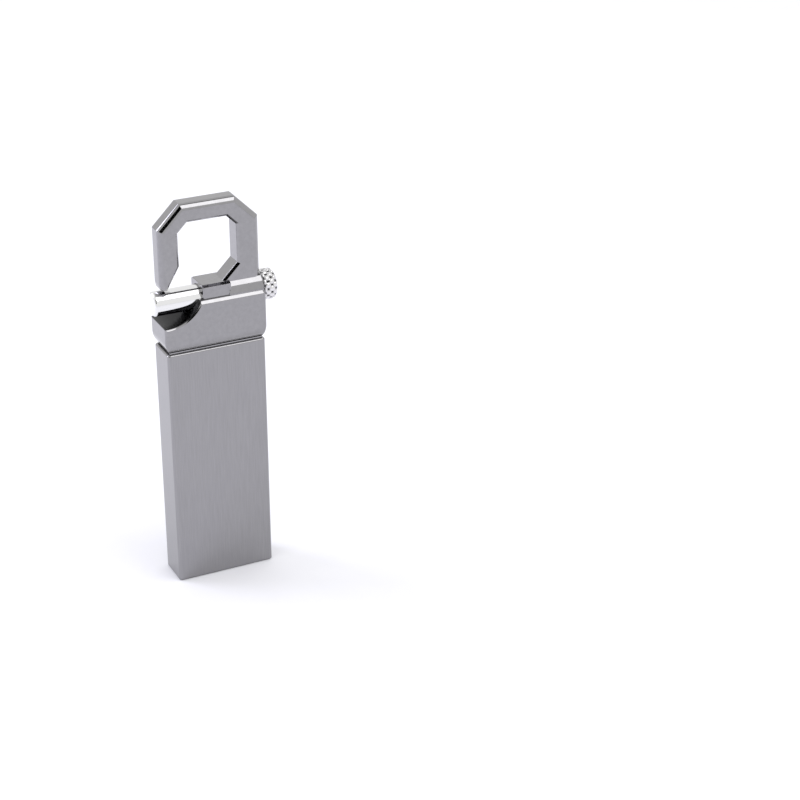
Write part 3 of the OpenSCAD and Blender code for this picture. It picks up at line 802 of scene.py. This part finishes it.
chip_epoxy = satin_finish(
    "matt_black_epoxy", ("#1B1B1D", "#27272A"), 0.3, (0.5, 0.64), relief_um=1.2)
for name in ("controller_chip", "memory_chip", "voltage_regulator", "surge_protector"):
    dress(nodes[name], chip_epoxy)


# ----------------------------------------------------------- clock crystal
# A quartz blank in a drawn steel can, which is nickel-plated and soldered to the
# board. The can is bright, with a soft haze.

dress(nodes["clock_crystal"], satin_finish(
    "nickel_plated_can", ("#B9B8B4", "#C6C5C1"), 0.5, (0.2, 0.32),
    relief_um=0.3, metallic=1.0))


# ------------------------------------------- capacitors, resistors and beads
# Each is a small fired block of ceramic or ferrite with a tinned cap at both ends,
# where it is soldered to the board. The block is dull and the tin is bright.

BLOCK_PATCH = 0.2
TIN_PATCH = 0.1
NO_HEIGHT = 1e-9


def tinned_ends(piece, name, tones, share):
    """Gives every block of a piece its body finish, with tin over both ends for
    share of its half length along Z."""
    shape = bmesh.new()
    shape.from_mesh(piece.data)
    shape.verts.ensure_lookup_table()
    along = [0.0] * len(shape.verts)
    waiting = set(shape.verts)
    while waiting:
        # Side faces are as long as their block. An end face can be apart from them:
        # it has no height, and comes out all tin.
        block, reached = set(), [waiting.pop()]
        while reached:
            corner = reached.pop()
            block.add(corner)
            for edge in corner.link_edges:
                other = edge.other_vert(corner)
                if other in waiting:
                    waiting.discard(other)
                    reached.append(other)
        low = min(v.co.z for v in block)
        high = max(v.co.z for v in block)
        for v in block:
            along[v.index] = 2 * (v.co.z - low) / max(high - low, NO_HEIGHT) - 1
    shape.free()
    place_on_block = piece.data.attributes.new("along_block", "FLOAT", "POINT")
    place_on_block.data.foreach_set("value", along)
    made = satin_finish(name, tones, BLOCK_PATCH, (0.4, 0.55), relief_um=0.6)
    tree = made.node_tree
    output = next(node for node in tree.nodes if node.type == "OUTPUT_MATERIAL")
    body = output.inputs["Surface"].links[0].from_socket
    position = add(tree, "Attribute", attribute_name="along_block")
    from_middle = add(tree, "Math", {0: position.outputs["Fac"]}, operation="ABSOLUTE")
    at_end = add(tree, "Math", {
        0: from_middle.outputs["Value"], 1: 1 - share,
    }, operation="GREATER_THAN")
    place = add(tree, "TexCoord").outputs["Object"]
    grain = add(tree, "TexNoise", {"Vector": place, "Scale": per_metre(TIN_PATCH)})
    tin_gloss = add(tree, "MapRange", {
        "Value": grain.outputs["Fac"], "To Min": 0.25, "To Max": 0.45,
    })
    tin = add(tree, "BsdfPrincipled", {
        "Base Color": linear("#C9CACC"), "Metallic": 1.0,
        "Roughness": tin_gloss.outputs["Result"],
    })
    mixed = add(tree, "MixShader", {0: at_end.outputs["Value"], 1: body, 2: tin.outputs["BSDF"]})
    tree.links.new(mixed.outputs["Shader"], output.inputs["Surface"])
    dress(piece, made)


tinned_ends(nodes["capacitors"], "tan_ceramic_capacitor", ("#A98255", "#B78F60"), 0.5)
tinned_ends(nodes["resistors"], "black_film_resistor", ("#17181B", "#202226"), 0.45)
tinned_ends(nodes["ferrite_beads"], "grey_ferrite", ("#3C3D40", "#494A4E"), 0.4)


# ------------------------------------------------------------ solder joints
# Lead-free solder of tin, silver and copper joins the contacts' tails to the board.
# It is melted in an oven, wets the tails, and freezes as small dull fillets.

dress(nodes["solder_joints"], satin_finish(
    "lead_free_solder", ("#A9ABAE", "#BDBFC2"), 0.15, (0.28, 0.46),
    relief_um=1.5, metallic=1.0))


# ---------------------------------------------------------- module adhesive
# A pad of amber epoxy, poured and cured in place, fixes the module to the head's
# spigot. It is glossy, and uneven where it ran.

dress(nodes["module_adhesive"], satin_finish(
    "cured_amber_epoxy", ("#9A7434", "#AD8642"), 0.7, (0.18, 0.3), relief_um=2.0))


# ------------------------------------------------------------------- studio
# A white sweep and two soft boxes. Two dark cards, seen only in reflections, stand
# in for the dark room on the camera's side and the gap between the soft boxes.

scene = bpy.context.scene
scene.view_settings.view_transform = "Standard"

world = bpy.data.worlds.new("white_tent")
scene.world = world
world.use_nodes = True
world.node_tree.nodes["Background"].inputs["Color"].default_value = linear("#FFFFFF")
world.node_tree.nodes["Background"].inputs["Strength"].default_value = 1.0


def card(name, centre, size, facing, material):
    """Flat studio card in mm, turned to face the drive. It is not part of the object."""
    bpy.ops.mesh.primitive_plane_add(size=1)
    plane = bpy.context.object
    plane.name = name
    plane.location = Vector(centre) * MM
    plane.scale = (size[0] * MM, size[1] * MM, 1)
    plane.rotation_mode = "QUATERNION"
    plane.rotation_quaternion = Vector(facing).to_track_quat("Z", "Y")
    dress(plane, material)
    return plane


made, tree = new_material("white_paper_sweep")
place = add(tree, "TexCoord").outputs["Object"]
fibre = add(tree, "TexNoise", {"Vector": place, "Scale": per_metre(0.8), "Detail": 4.0})
tone = add(tree, "ValToRGB", {"Fac": fibre.outputs["Fac"]})
tone.color_ramp.elements[0].color = linear("#F1F1F7")
tone.color_ramp.elements[1].color = linear("#F6F6FA")
paper = add(tree, "BsdfPrincipled", {
    "Base Color": tone.outputs["Color"], "Roughness": 0.8, "Specular IOR Level": 0.2,
})
add(tree, "OutputMaterial", {"Surface": paper.outputs["BSDF"]})
card("paper_sweep", (0, 0, 0), (6000, 6000), (0, 0, 1), made)

made, tree = new_material("black_card")
black = add(tree, "Emission", {"Color": linear("#050505"), "Strength": 1.0})
add(tree, "OutputMaterial", {"Surface": black.outputs["Emission"]})
black_card = made
HOOK_CENTRE = Vector((0, 0, 40))
CARD_DISTANCE = 400


def dark_card(name, towards, size):
    """Black card in the direction towards, seen from the hook, in reflections only."""
    centre = HOOK_CENTRE + Vector(towards).normalized() * CARD_DISTANCE
    plane = card(name, centre, size, -Vector(towards), black_card)
    plane.visible_camera = False
    plane.visible_diffuse = False
    plane.visible_shadow = False


dark_card("camera_side_card", (-0.56, -0.62, 0.52), (220, 260))
dark_card("soft_box_gap_card", (0.4, 0.01, 0.91), (60, 400))


def soft_box(name, centre, size, watts, colour):
    """Rectangular soft light, aimed at the hook."""
    light = bpy.data.lights.new(name, "AREA")
    light.shape = "RECTANGLE"
    light.size = size[0] * MM
    light.size_y = size[1] * MM
    light.energy = watts
    light.color = linear(colour)[:3]
    lamp = bpy.data.objects.new(name, light)
    scene.collection.objects.link(lamp)
    lamp.location = Vector(centre) * MM
    lamp.rotation_mode = "QUATERNION"
    lamp.rotation_quaternion = (Vector(centre) - HOOK_CENTRE).to_track_quat("Z", "Y")


soft_box("overhead_soft_box", (170, -190, 420), (300, 220), 0.4, "#FFFFFF")
soft_box("left_soft_box", (-200, 180, 150), (150, 150), 0.34, "#EEEEFF")

# The camera stands to the front left, a little above the drive.
CAMERA_PLACE = Vector((-74.2007, -198.7752, 123.3967))
CAMERA_AZIMUTH = math.radians(-26.4)
CAMERA_ELEVATION = math.radians(25.7)
camera = bpy.data.objects.new("camera", bpy.data.cameras.new("camera"))
scene.collection.objects.link(camera)
camera.data.lens = 90
camera.data.sensor_width = 36
camera.data.clip_start = 10 * MM
camera.data.clip_end = 20
camera.location = CAMERA_PLACE * MM
camera.rotation_euler = (math.pi / 2 - CAMERA_ELEVATION, 0, CAMERA_AZIMUTH)
scene.camera = camera
